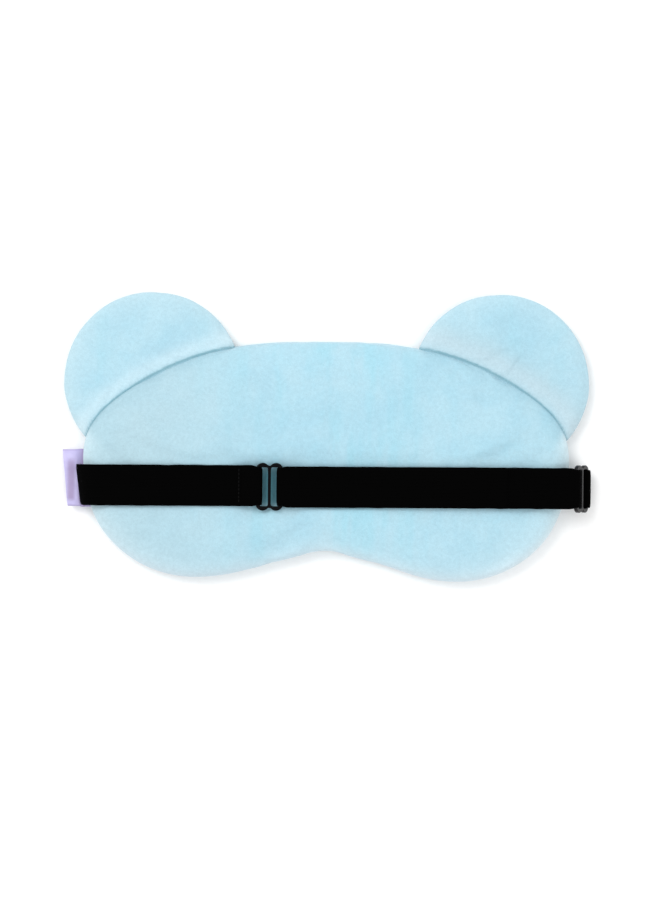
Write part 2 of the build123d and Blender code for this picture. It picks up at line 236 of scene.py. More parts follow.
def mix_colour(tree, factor, first, second, blend_type="MIX"):
    node = add_node(tree, "ShaderNodeMix", data_type="RGBA", blend_type=blend_type)
    for index, value in ((0, factor), (6, first), (7, second)):
        if isinstance(value, bpy.types.NodeSocket):
            tree.links.new(value, node.inputs[index])
        else:
            node.inputs[index].default_value = value
    return node.outputs[2]


def attribute(tree, name):
    return add_node(tree, "ShaderNodeAttribute", attribute_name=name).outputs["Fac"]


def bump(tree, height, distance, strength, normal=None):
    inputs = {"Height": height, "Distance": distance, "Strength": strength}
    if normal:
        inputs["Normal"] = normal
    return add_node(tree, "ShaderNodeBump", inputs).outputs[0]


# ---- Materials ----

# Linear colours of the velvet, its brushed streaks and its tints, with the colours of its painted sheen and
# painted shade.
SKY, SKY_LIGHT, SKY_DEEP = (0.354, 0.574, 0.676, 1), (0.400, 0.606, 0.696, 1), (0.326, 0.570, 0.680, 1)
CYAN, SHADE_TEAL = (0.270, 0.580, 0.690, 1), (0.070, 0.240, 0.300, 1)
GREY_BLUE, SHEEN_SKY, LILAC = (0.400, 0.545, 0.600, 1), (0.600, 0.745, 0.800, 1), (0.600, 0.640, 0.720, 1)
SHEEN_TINT = (0.90, 0.96, 1.0, 1)
BLACK_COAT, GLINT_AND_WEAR_COAT = (0.0025, 0.0025, 0.0030, 1), (0.07, 0.07, 0.075, 1)
LAVENDER, LAVENDER_LIGHT = (0.460, 0.420, 0.700, 1), (0.530, 0.490, 0.770, 1)
PURPLE, SELVEDGE, WEFT_LIGHT = (0.270, 0.190, 0.360, 1), (0.330, 0.270, 0.520, 1), (0.85, 0.82, 0.95, 1)
WADDING_SHADE, WADDING_LIGHT = (0.70, 0.70, 0.68, 1), (0.90, 0.90, 0.89, 1)
LINING_BLACK, LINING_RAISED = (0.010, 0.010, 0.012, 1), (0.030, 0.030, 0.032, 1)
THREAD_BLUE, THREAD_BLUE_RAISED = (0.25, 0.52, 0.62, 1), (0.45, 0.72, 0.80, 1)
THREAD_BLACK, THREAD_BLACK_RAISED = (0.004, 0.004, 0.004, 1), (0.016, 0.016, 0.017, 1)
PAPER, PAPER_LIGHT = (0.935, 0.935, 0.935, 1), (0.95, 0.95, 0.95, 1)
SELVEDGE_START, SELVEDGE_END = 11.6 * MM, 12.7 * MM     # from the label's middle, to its darker woven edges


def velvet_material():
    """Light-blue velvet: short pile, cloudy where it has been brushed, with painted sheen where it turns
    away and painted shade in its creases.
    """
    material, tree = new_material("velvet")
    place = object_coords(tree)
    clouds = noise_field(tree, place, 34, detail=5, roughness=0.6, distortion=0.6)
    patches = noise_field(tree, place, 120, detail=4, roughness=0.6)
    brushed = noise_field(tree, object_coords(tree, (85, 16, 40), (0, 0, radians(-16))), 1.0, detail=3)
    nap = noise_field(tree, place, 620, detail=3)
    pile = noise_field(tree, place, 2400, detail=2)
    colour = mix_colour(tree, remap(tree, clouds, 0.34, 0.68), SKY, SKY_LIGHT)
    colour = mix_colour(tree, remap(tree, patches, 0.42, 0.72, 0, 0.28), colour, SKY_DEEP)
    streaks = maths(tree, "MULTIPLY", remap(tree, brushed, 0.46, 0.70), attribute(tree, "streaked"))
    colour = mix_colour(tree, streaks, colour, CYAN)
    # the tints below include painted sheen and painted shade
    for name, tint in (("grey", GREY_BLUE), ("painted_sheen", SHEEN_SKY), ("lilac", LILAC), ("painted_shade", SHADE_TEAL)):
        colour = mix_colour(tree, attribute(tree, name), colour, tint)
    shade = remap(tree, nap, 0.30, 0.70, 0.965, 1.03)
    shade = maths(tree, "MULTIPLY", shade, remap(tree, pile, 0.25, 0.75, 0.94, 1.04))
    colour = mix_colour(tree, 1.0, colour, shade, "MULTIPLY")
    normal = bump(tree, pile, 0.22 * MM, 0.55)
    normal = bump(tree, nap, 0.40 * MM, 0.35, normal)
    normal = bump(tree, patches, 1.2 * MM, 0.25, normal)
    surface(tree, {"Base Color": colour, "Roughness": 0.92, "Normal": normal,
                   "Specular IOR Level": 0.12, "Sheen Weight": 0.55, "Sheen Roughness": 0.38,
                   "Sheen Tint": SHEEN_TINT})
    return material


def elastic_material(name, cords, shade):
    """Black woven elastic: cords along it, weft across it. Its UV map is in metres."""
    material, tree = new_material(name)
    uv = add_node(tree, "ShaderNodeUVMap", uv_map="cloth").outputs[0]
    along = add_node(tree, "ShaderNodeTexWave", {"Vector": uv, "Scale": cords, "Distortion": 0.4,
                     "Detail": 1.0, "Detail Scale": 3.0}, bands_direction="Y").outputs["Fac"]
    across = add_node(tree, "ShaderNodeTexWave", {"Vector": uv, "Scale": 2.1 * cords, "Distortion": 0.8,
                      "Detail": 1.0, "Detail Scale": 2.0}, bands_direction="X").outputs["Fac"]
    fibres = noise_field(tree, uv, 3200, detail=3)
    weave = maths(tree, "MULTIPLY", along, maths(tree, "ADD", maths(tree, "MULTIPLY", across, 0.5), 0.5))
    dark = (0.45 * shade, 0.45 * shade, 0.45 * shade, 1)
    light = (1.5 * shade, 1.5 * shade, 1.5 * shade, 1)
    fluff = (3.0 * shade, 3.0 * shade, 3.3 * shade, 1)
    colour = mix_colour(tree, weave, dark, light)
    colour = mix_colour(tree, remap(tree, fibres, 0.55, 0.80, 0, 0.4), colour, fluff)
    normal = bump(tree, weave, 0.16 * MM, 0.8)
    normal = bump(tree, fibres, 0.06 * MM, 0.5, normal)
    surface(tree, {"Base Color": colour, "Roughness": remap(tree, fibres, 0.3, 0.7, 0.72, 0.90),
                   "Normal": normal, "Specular IOR Level": 0.012})
    return material


def metal_material(name, gloss, edge_glint_and_wear):
    """Black coating on a cast slider, uneven; its sharp edges are painted lighter, as a little wear and as
    painted glints.
    """
    material, tree = new_material(name)
    place = object_coords(tree)
    orange_peel = noise_field(tree, place, 900, detail=2)
    scuffs = noise_field(tree, object_coords(tree, (300, 2600, 900), (0, 0, 0.5)), 1.0, detail=4)
    pointy_edges = add_node(tree, "ShaderNodeNewGeometry").outputs["Pointiness"]
    # sharp edges painted lighter: a little wear, and painted glints on the side slider
    colour = mix_colour(tree, remap(tree, pointy_edges, 0.52, 0.62, 0, edge_glint_and_wear), BLACK_COAT, GLINT_AND_WEAR_COAT)
    surface(tree, {"Base Color": colour, "Specular IOR Level": gloss,
                   "Roughness": remap(tree, scuffs, 0.40, 0.75, 0.22, 0.40),
                   "Normal": bump(tree, orange_peel, 0.05 * MM, 0.35)})
    return material


def label_material():
    """Lavender satin ribbon: fine weft, darker woven edges, one plain soft band and painted shade beside
    the seam.
    """
    material, tree = new_material("label_satin")
    uv = add_node(tree, "ShaderNodeUVMap", uv_map="cloth").outputs[0]
    parts = add_node(tree, "ShaderNodeSeparateXYZ", {"Vector": uv})
    weft = add_node(tree, "ShaderNodeTexWave", {"Vector": uv, "Scale": 950, "Distortion": 1.0},
                    bands_direction="Y").outputs["Fac"]
    cloud = noise_field(tree, uv, 160, detail=3)
    edge = remap(tree, maths(tree, "ABSOLUTE", parts.outputs["Y"]), SELVEDGE_START, SELVEDGE_END)
    colour = mix_colour(tree, remap(tree, cloud, 0.35, 0.7), LAVENDER, LAVENDER_LIGHT)
    colour = mix_colour(tree, attribute(tree, "band"), colour, PURPLE)
    colour = mix_colour(tree, maths(tree, "MULTIPLY", edge, 0.6), colour, SELVEDGE)
    colour = mix_colour(tree, maths(tree, "MULTIPLY", weft, 0.12), colour, WEFT_LIGHT)
    surface(tree, {"Base Color": colour, "Roughness": 0.5, "Normal": bump(tree, weft, 0.05 * MM, 0.6),
                   "Sheen Weight": 0.15, "Sheen Roughness": 0.3, "Specular IOR Level": 0.35})
    return material


def wadding_material():
    """White fibre wadding."""
    material, tree = new_material("wadding")
    place = object_coords(tree)
    tufts = noise_field(tree, place, 260, detail=6, roughness=0.7, distortion=1.2)
    colour = mix_colour(tree, remap(tree, tufts, 0.3, 0.7), WADDING_SHADE, WADDING_LIGHT)
    surface(tree, {"Base Color": colour, "Roughness": 0.95, "Normal": bump(tree, tufts, 1.2 * MM, 0.9),
                   "Sheen Weight": 0.3})
    return material


def woven_material(name, base, raised):
    """A plain weave of fine yarns, for the lining and the sewing threads."""
    material, tree = new_material(name)
    place = object_coords(tree)
    warp = add_node(tree, "ShaderNodeTexWave", {"Vector": place, "Scale": 700, "Distortion": 0.6},
                    bands_direction="X").outputs["Fac"]
    weft = add_node(tree, "ShaderNodeTexWave", {"Vector": place, "Scale": 700, "Distortion": 0.6},
                    bands_direction="Y").outputs["Fac"]
    weave = maths(tree, "MULTIPLY", warp, weft)
    surface(tree, {"Base Color": mix_colour(tree, weave, base, raised), "Roughness": 0.85,
                   "Specular IOR Level": 0.05, "Normal": bump(tree, weave, 0.10 * MM, 0.7)})
    return material


def floor_material():
    """A smooth white sweep of studio paper, with the faintest tooth."""
    material, tree = new_material("studio_paper")
    tooth = noise_field(tree, object_coords(tree), 420, detail=3)
    colour = mix_colour(tree, remap(tree, tooth, 0.3, 0.7), PAPER, PAPER_LIGHT)
    surface(tree, {"Base Color": colour, "Roughness": 0.95, "Specular IOR Level": 0.1,
                   "Normal": bump(tree, tooth, 0.05 * MM, 0.2)})
    return material


velvet = velvet_material()
elastic = elastic_material("elastic", cords=520, shade=0.0010)
tape = elastic_material("tab_tape", cords=760, shade=0.0010)
black_metal = metal_material("black_metal", gloss=0.05, edge_glint_and_wear=0.04)
# the side slider's edges are painted light grey as glints on its bars
glinting_metal = metal_material("black_metal_painted_glints", gloss=0.30, edge_glint_and_wear=0.50)
label_satin = label_material()
wadding = wadding_material()
lining_cloth = woven_material("lining_cloth", LINING_BLACK, LINING_RAISED)
blue_thread = woven_material("blue_thread", THREAD_BLUE, THREAD_BLUE_RAISED)
black_thread = woven_material("black_thread", THREAD_BLACK, THREAD_BLACK_RAISED)


# ---- Mesh helpers ----

def make_piece(name, vertices, faces, material):
    mesh = bpy.data.meshes.new(name)
    mesh.from_pydata(vertices, [], faces)
    mesh.validate()
    mesh.materials.append(material)
    mesh.polygons.foreach_set("use_smooth", [True] * len(mesh.polygons))
    mesh.update()
    piece = bpy.data.objects.new(name, mesh)
    bpy.context.scene.collection.objects.link(piece)
    return piece


def finish_piece(piece, slot, body, *nodes):
    """Give a piece its body, and hide the CAD nodes it stands for. Its slot is not used."""
    if body:
        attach(piece, body)
    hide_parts(*nodes)
    return piece


def subdivide(piece):
    """One level of smooth subdivision, applied."""
    piece.modifiers.new("subdivide", "SUBSURF").levels = 1
    graph = bpy.context.evaluated_depsgraph_get()
    mesh = bpy.data.meshes.new_from_object(piece.evaluated_get(graph))
    piece.modifiers.clear()
    piece.data = mesh
    mesh.polygons.foreach_set("use_smooth", [True] * len(mesh.polygons))


def paint(piece, name, value_at):
    """A value on each vertex, worked out from where the vertex is."""
    layer = piece.data.attributes.new(name, "FLOAT", "POINT")
    layer.data.foreach_set("value", [value_at(vertex.co) for vertex in piece.data.vertices])


def rounded(share):
    """A quarter circle: 0 at a share of 0, level at 1 from a share of 1."""
    share = min(max(share, 0.0), 1.0)
    return sqrt(1 - (1 - share) ** 2)


def smooth_step(share):
    share = min(max(share, 0.0), 1.0)
    return share * share * (3 - 2 * share)


def bell(distance, width, power=2):
    """1 at no distance, fading to 0 past the width; a higher power has a flatter top."""
    return exp(-(distance / width) ** power)


def ripple(point, size, seed):
    """Smooth noise between about -1 and 1, whose lumps are size metres across."""
    return noise.noise(Vector(point) / size + Vector((seed, 2 * seed, 3 * seed)))


# ---- The outline of the mask ----

panel = frame["nodes"]["back_panel"].data
panel_tree = BVHTree.FromPolygons([vertex.co for vertex in panel.vertices],
                                  [polygon.vertices[:] for polygon in panel.polygons])


def cast_rim(turn):
    """The point of the mask's rim at a turn, from 0 to 1, anticlockwise from the right."""
    aim = Vector((pad_half.x * cos(2 * pi * turn), pad_half.y * sin(2 * pi * turn), 0)).normalized()
    start = pad_middle + 2 * pad_half.x * aim + Vector((0, 0, ABOVE_SEAM))
    hit = panel_tree.ray_cast(start, -aim)[0]
    lobe = smooth_step((-hit.x - LOBE_START) / LOBE_RUN) * smooth_step((-hit.y - LOBE_START) / LOBE_RUN)
    return Vector((hit.x, hit.y + LOBE_LIFT * lobe))


raw_rim = [cast_rim(index / RIM_SAMPLES) for index in range(RIM_SAMPLES)]
rim = [(raw_rim[index - 1] + raw_rim[index] + raw_rim[(index + 1) % RIM_SAMPLES]) / 3
       for index in range(RIM_SAMPLES)]
rim_tree = KDTree(RIM_SAMPLES)
for index, point in enumerate(rim):
    rim_tree.insert((point.x, point.y, 0), index)
rim_tree.balance()


def rim_at(turn):
    """A point of the rim and the direction square to it, outwards."""
    place = (turn % 1.0) * RIM_SAMPLES
    index, share = int(place) % RIM_SAMPLES, place - int(place)
    point = rim[index].lerp(rim[(index + 1) % RIM_SAMPLES], share)
    along = (rim[(index + 3) % RIM_SAMPLES] - rim[index - 2]).normalized()
    return point, Vector((along.y, -along.x))


def outside_rim(point):
    """Distance from the rim in plan: above 0 outside the mask, below 0 inside it."""
    index = rim_tree.find((point.x, point.y, 0))[1]
    along = (rim[(index + 1) % RIM_SAMPLES] - rim[index - 1]).normalized()
    away = Vector((point.x, point.y)) - rim[index]
    side = away.x * along.y - away.y * along.x
    return away.length if side > 0 else -away.length


# ---- Stuffed forms ----

def grid_turn(column, row, ring):
    """How far round its ring a cell of the square grid lies, from 0 to 1."""
    if column == ring and abs(row) < ring:
        place = row
    elif row == ring:
        place = 2 * ring - column
    elif column == -ring:
        place = 4 * ring - row
    elif row == -ring:
        place = 6 * ring + column
    else:
        place = row
    return (place / (8 * ring)) % 1.0


def quilt(name, rings, place, material):
    """Two square grids of cloth sewn together at the rim.

    place(turn, inward, side) gives a vertex: turn is how far round, inward is the number of rings
    in from the rim, and side is 1 for the upper layer and -1 for the lower one."""
    vertices, faces, index = [], [], {}
    for side in (1, -1):
        for column in range(-rings, rings + 1):
            for row in range(-rings, rings + 1):
                ring = max(abs(column), abs(row))
                if side == -1 and ring == rings:
                    index[side, column, row] = index[1, column, row]
                    continue
                turn = grid_turn(column, row, ring) if ring else 0.0
                index[side, column, row] = len(vertices)
                vertices.append(place(turn, rings - ring, side))
        for column in range(-rings, rings):
            for row in range(-rings, rings):
                face = [index[side, column, row], index[side, column + 1, row],
                        index[side, column + 1, row + 1], index[side, column, row + 1]]
                faces.append(face if side == 1 else face[::-1])
    return make_piece(name, vertices, faces, material)


def stuff(piece, pinned, pressure, growth, cap, frames=16):
    """Fill a cover: cloth simulation with air pressure and sewn points held still, then applied."""
    rest = [vertex.co.copy() for vertex in piece.data.vertices]
    group = piece.vertex_groups.new(name="sewn")
    group.add([index for index, point in enumerate(rest) if pinned(point)], 1.0, "REPLACE")
    cloth = piece.modifiers.new("stuffing", "CLOTH")
    cloth.settings.quality = 6
    cloth.settings.mass = 0.15
    cloth.settings.tension_stiffness = 12
    cloth.settings.compression_stiffness = 12
    cloth.settings.shear_stiffness = 5
    cloth.settings.bending_stiffness = 0.4
    cloth.settings.use_pressure = True
    cloth.settings.uniform_pressure_force = pressure
    cloth.settings.shrink_min = -growth
    cloth.settings.vertex_group_mass = "sewn"
    cloth.settings.effector_weights.gravity = 0
    cloth.collision_settings.use_collision = False
    cloth.point_cache.frame_end = frames
    for step in range(1, frames + 1):
        bpy.context.scene.frame_set(step)
    graph = bpy.context.evaluated_depsgraph_get()
    filled = [vertex.co.copy() for vertex in piece.evaluated_get(graph).data.vertices]
    piece.modifiers.remove(cloth)
    piece.vertex_groups.clear()
    bpy.context.scene.frame_set(1)
    for vertex, start, end in zip(piece.data.vertices, rest, filled):
        move = end - start
        if move.length > cap:
            move *= cap / move.length
        vertex.co = start + move
    piece.data.update()


def pad_place(inset):
    """Vertices of the mask's rounded form, taken in by inset all over."""
    def place(turn, inward, side):
        point, out = rim_at(turn)
        height = (pad_top - seam_z if side == 1 else seam_z) - inset
        round_in = BACK_ROUND if side == 1 else FRONT_ROUND
        angle = pi / 2 * min(inward / RIM_RINGS, 1.0)
        inside = inset + round_in * (1 - cos(angle)) + GROOVE * bell(inward, GROOVE_RINGS)
        edge = point - out * inside
        lift = height * sin(angle)
        if inward > RIM_RINGS:
            share = (inward - RIM_RINGS) / (PAD_RINGS - RIM_RINGS)
            edge = edge.lerp(pad_middle.xy, share)
            if side == 1:
                lift += CROWN * smooth_step(2 * share)
        if side == 1:
            press = bell(edge.y - strap_y, DIP_HALF, power=4)
            lift -= (STRAP_DIP + CROWN) * press * smooth_step(inward / RIM_RINGS)
        return Vector((edge.x, edge.y, seam_z + side * lift))
    return place


def pad_pinned(point):
    resting = point.z < REST_GAP
    sewn = abs(point.z - seam_z) < SEWN_GAP
    strapped = abs(point.y - strap_y) < HELD_HALF and point.z > pad_top - HELD_DEPTH
    return resting or sewn or strapped


mask_cover = quilt("mask_cover", PAD_RINGS, pad_place(0.0), velvet)
stuff(mask_cover, pad_pinned, pressure=3.0, growth=0.006, cap=1.4 * MM)
subdivide(mask_cover)


ear_centre = Vector((ear_high.x - EAR_RADIUS + EAR_OUT, ear_high.y - EAR_RADIUS, seam_z))


def near_ear(point, margin):
    """1 where a point of the mask lies beside an ear, fading to 0 over the margin."""
    away = (Vector((abs(point.x), point.y)) - ear_centre.xy).length
    return smooth_step((EAR_RADIUS - away) / margin)


def mask_relief(point):
    """Height of the soft lumps, the upright folds at the nose and the puckers along the seam."""
    inside = -outside_rim(point)
    middle = bell(point.x, width=34 * MM) * smooth_step(inside / (6 * MM))
    off_strap = smooth_step((abs(point.y - strap_y) - HELD_HALF) / HELD_HALF)
    near_seam = bell(inside - 2.5 * MM, width=2.2 * MM)
    fold = 0.55 * MM * middle * ripple((point.x, 0.12 * point.y, 0), size=7 * MM, seed=3.1)
    soft = 0.45 * MM * ripple((point.x, point.y, 0), size=19 * MM, seed=7.7)
    pucker = 0.28 * MM * near_seam * ripple((point.x, point.y, 0), size=4.2 * MM, seed=1.3)
    return off_strap * (fold + soft) + pucker


for vertex in mask_cover.data.vertices:
    if vertex.co.z > seam_z:
        vertex.co.z += mask_relief(vertex.co)
    vertex.co.z = max(vertex.co.z, FLOOR_GAP)


def painted_crease_and_slider_shade(point):
    """Painted shade: the pile darkened in the crease beside an ear, and under the slider's windows at the
    slider's rest place.
    """
    inside = -outside_rim(point)
    crease = 0.55 * bell(inside - 0.4 * MM, width=0.5 * MM) + 0.10 * exp(-max(inside, 0) / (3.5 * MM))
    # painted shade under the slider's windows, painted at the slider's rest place
    press = bell(point.x - slider_x, 5 * MM, power=4) * bell(point.y - strap_y, 8.3 * MM, power=8)
    return max(near_ear(point, margin=7 * MM) * crease, 0.90 * press * (point.z > seam_z))


def painted_rim_sheen(point):
    """Painted sheen: the rim painted paler where the pile turns away, most at the right, least along the
    top.
    """
    amount = 0.75 + 0.50 * smooth_step(point.x / 0.1) - 0.60 * smooth_step(point.y / 0.03)
    return amount * exp(outside_rim(point) / (4.5 * MM)) * (1 - near_ear(point, margin=6 * MM))


def lilac_rim(point):
    """A faint warm tint along the lower rim."""
    return 0.35 * exp(outside_rim(point) / (2.5 * MM)) * smooth_step((-point.y - 0.03) / 0.03)


# painted sheen along the rim
paint(mask_cover, "painted_sheen", painted_rim_sheen)
paint(mask_cover, "lilac", lilac_rim)
# painted shade beside the ears and under the slider
paint(mask_cover, "painted_shade", painted_crease_and_slider_shade)
paint(mask_cover, "streaked", lambda p: 0.45 * bell(p.x, 42 * MM) + 0.08)
# painted shade: the left of the mask greyer
paint(mask_cover, "grey", lambda p: 0.60 * smooth_step((-p.x - 0.01) / 0.08))
finish_piece(mask_cover, "velvet", "mask", "back_panel", "front_panel")

mask_wadding = quilt("mask_wadding", PAD_RINGS, pad_place(PAD_INSET), wadding)
for vertex in mask_wadding.data.vertices:
    if vertex.co.z > seam_z:
        vertex.co.z += PAD_LUMP * (ripple(vertex.co, size=9 * MM, seed=5.5) - 1)
    vertex.co.z = max(vertex.co.z, PAD_INSET)
finish_piece(mask_wadding, "stuffing", "mask", "filling")


# ---- The ears ----

ear_half = (ear_high.z - ear_low.z) / 2
ear_edge = EAR_RADIUS + EAR_SPARE
ear_spread = ear_centre.xy + EAR_EYE


def ear_reach(turn, inset, base):
    """The edge of the right ear's cloth at a turn about its spreading point."""
    aim = Vector((cos(2 * pi * turn), sin(2 * pi * turn)))

    def on_ear(reach):
        point = ear_spread + reach * aim
        return (point - ear_centre.xy).length <= ear_edge - inset and outside_rim(point) >= base

    low = 0.0
    while low < 2 * EAR_RADIUS and on_ear(low + EAR_MARCH):
        low += EAR_MARCH
    high = low + EAR_MARCH
    for _ in range(8):
        middle = (low + high) / 2
        low, high = (middle, high) if on_ear(middle) else (low, middle)
    return ear_spread + low * aim


def ear_place(mirror, inset, base):
    """Vertices of an ear: full at its middle, rounded at its free edge, thin where it is sewn in."""
    reaches = [ear_reach(index / EAR_REACHES, inset, base) for index in range(EAR_REACHES)]

    def place(turn, inward, side):
        spot = turn * EAR_REACHES
        index = int(spot) % EAR_REACHES
        edge = reaches[index].lerp(reaches[(index + 1) % EAR_REACHES], spot - int(spot))
        turn_in = EAR_ROUND * (1 - cos(pi / 2 * min(inward / EAR_RIM_RINGS, 1.0)))
        point = edge + (ear_spread - edge).normalized() * turn_in
        if inward > EAR_RIM_RINGS:
            point = point.lerp(ear_spread, (inward - EAR_RIM_RINGS) / (EAR_RINGS - EAR_RIM_RINGS))
        free = ear_edge - inset - (point - ear_centre.xy).length
        out = outside_rim(point)
        fill = rounded(free / EAR_ROUND) * (EAR_THIN + (1 - EAR_THIN) * rounded((out - base) / EAR_RISE))
        crown = 1 + EAR_CROWN * smooth_step(min(free, out) / EAR_CROWN_RUN)
        lift = (ear_half - inset) * fill * crown if inward else 0.0
        return Vector((mirror * point.x, point.y, seam_z + side * lift))
    return place


def ear_pinned(point):
    return abs(point.z - seam_z) < SEWN_GAP or outside_rim(point) < EAR_HELD


def make_ear(name, mirror, painted_sheen, lilac, edge_shade, grey_base):
    """An ear's cover and wadding. The last four values are the strengths of its painted sheen, its lilac
    tint, the painted shade on its free edge and its grey towards the base.
    """
    cover = quilt(f"{name}_cover", EAR_RINGS, ear_place(mirror, 0.0, -EAR_TUCK), velvet)
    if mirror < 0:
        cover.data.flip_normals()
    stuff(cover, ear_pinned, pressure=2.5, growth=0.015, cap=0.9 * MM)
    subdivide(cover)
    for vertex in cover.data.vertices:
        full = smooth_step(outside_rim(vertex.co) / (8 * MM))
        vertex.co.z += 0.30 * MM * full * ripple(vertex.co, size=14 * MM, seed=4.4 + mirror)
        near_seam = bell(outside_rim(vertex.co) - 3 * MM, width=2.5 * MM)
        vertex.co.z += 0.22 * MM * near_seam * ripple(vertex.co, size=5 * MM, seed=8.2)

    def near_edge(point):
        free = EAR_RADIUS - (Vector((abs(point.x), point.y)) - ear_centre.xy).length
        return exp(-max(free, 0) / (6 * MM))

    def near_base(point, distance, width):
        return bell(outside_rim(point) - distance, width)

    # painted sheen near the ear's base and at its rounded free edge
    paint(cover, "painted_sheen", lambda p: painted_sheen * near_base(p, 2.5 * MM, 4 * MM) + 0.25 * near_edge(p))
    paint(cover, "lilac", lambda p: lilac * near_base(p, 4 * MM, 5 * MM))
    # painted shade: a thin dark line in the crease where the ear meets the mask
    paint(cover, "painted_shade", lambda p: 0.60 * near_base(p, -0.6 * MM, 0.7 * MM))
    paint(cover, "streaked", lambda p: 0.20)
    # painted shade on the ear's rounded free edge; the ear is also greyer towards its base
    paint(cover, "grey", lambda p: edge_shade * near_edge(p) + grey_base * near_base(p, 5 * MM, 7 * MM))
    finish_piece(cover, "velvet", "mask", f"{name}_back", f"{name}_front")

    inner = quilt(f"{name}_wadding", EAR_RINGS, ear_place(mirror, EAR_INSET, EAR_TUCK), wadding)
    if mirror < 0:
        inner.data.flip_normals()
    for vertex in inner.data.vertices:
        vertex.co.z = seam_z + EAR_SLACK * (vertex.co.z - seam_z)
    finish_piece(inner, "stuffing", "mask", f"{name}_filling")


make_ear("right_ear", 1, painted_sheen=0.12, lilac=0.14, edge_shade=0.15, grey_base=0.60)
make_ear("left_ear", -1, painted_sheen=0.42, lilac=0.05, edge_shade=0.40, grey_base=0.0)


# ---- Lining and sewing threads, inside the covers ----

def make_lining():
    """The blackout cloth behind the front of the mask."""
    low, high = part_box("blackout_lining")
    inset = back_high.x - high.x

    def place(turn, inward, side):
        point, out = rim_at(turn)
        spot = (point - inset * out).lerp(pad_middle.xy, inward / LINING_RINGS)
        wave = LINING_WAVE * ripple((spot.x, spot.y, 0), size=16 * MM, seed=2.2)
        thick = side * (high.z - low.z) / 4 if inward else 0
        return Vector((spot.x, spot.y, (low.z + high.z) / 2 + wave + thick))

    lining = quilt("blackout_lining_cloth", LINING_RINGS, place, lining_cloth)
    finish_piece(lining, "lining", "mask", "blackout_lining")


def stitch_row(name, points, length, radius, material):
    """A row of stitches, one on each span of a line of points."""
    sides, spans = 6, 5
    vertices, faces = [], []
    for start, end in zip(points, points[1:]):
        along = (end - start).normalized()
        across = along.cross(Vector((0, 0, 1))).normalized()
        up = across.cross(along)
        middle = (start + end) / 2
        first = len(vertices)
        for step in range(spans):
            share = 2 * step / (spans - 1) - 1
            girth = radius * sqrt(max(1 - share ** 4, 0.04))
            for side in range(sides):
                angle = 2 * pi * side / sides
                vertices.append(middle + along * share * length / 2
                                + girth * (cos(angle) * across + sin(angle) * up))
        for step in range(spans - 1):
            for side in range(sides):
                a, b = first + step * sides + side, first + step * sides + (side + 1) % sides
                faces.append((a, b, b + sides, a + sides))
        faces.append(tuple(first + side for side in reversed(range(sides))))
        faces.append(tuple(first + (spans - 1) * sides + side for side in range(sides)))
    return make_piece(name, vertices, faces, material)


make_lining()

around = sum((rim[index] - rim[index - 1]).length for index in range(RIM_SAMPLES))
seam_stitches = int(around / STITCH_PITCH)
seam_inset = back_high.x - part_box("perimeter_thread")[1].x + STITCH_RADIUS
seam_points = []
for index in range(seam_stitches + 1):
    seam_point, seam_out = rim_at(index / seam_stitches)
    seam_points.append(Vector((*(seam_point - seam_inset * seam_out), seam_z)))
finish_piece(stitch_row("perimeter_stitches", seam_points, STITCH_LENGTH, STITCH_RADIUS, blue_thread),
             "thread", "mask", "perimeter_thread")

thread_radius = EAR_RADIUS - (ear_high.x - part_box("right_ear_thread")[1].x)
for ear_name, mirror in (("right_ear", 1), ("left_ear", -1)):
    ear_points = []
    for index in range(EAR_STITCHES):
        angle = radians(EAR_STITCH_START + EAR_STITCH_SWEEP * index / EAR_STITCH_SPANS)
        spot = ear_centre.xy + thread_radius * Vector((cos(angle), sin(angle)))
        if outside_rim(spot) > EAR_STITCH_CLEAR:
            ear_points.append(Vector((mirror * spot.x, spot.y, seam_z)))
    finish_piece(stitch_row(f"{ear_name}_stitches", ear_points, STITCH_LENGTH, STITCH_RADIUS, blue_thread),
                 "thread", "mask", f"{ear_name}_thread")


# ---- Webbing ----

def arc(centre, radius, start, sweep, steps=14):
    """Points of an arc in the side view, from a start angle through a sweep, in degrees."""
    return [(centre[0] + radius * cos(radians(start + sweep * step / steps)),
             centre[1] + radius * sin(radians(start + sweep * step / steps))) for step in range(steps + 1)]


def climb(start, end, steps=10):
    """Points of a smooth rise from one level to another, without the first one."""
    return [(start[0] + (end[0] - start[0]) * step / steps,
             start[1] + (end[1] - start[1]) * smooth_step(step / steps)) for step in range(1, steps + 1)]


def even_points(path, step):
    """The path again, with its long runs divided into even steps."""
    points = [Vector(path[0])]
    for start, end in zip(path, path[1:]):
        start, end = Vector(start), Vector(end)
        parts = max(1, round((end - start).length / step))
        points += [start.lerp(end, part / parts) for part in range(1, parts + 1)
                   if (end - start).length > 1e-7]
    return points


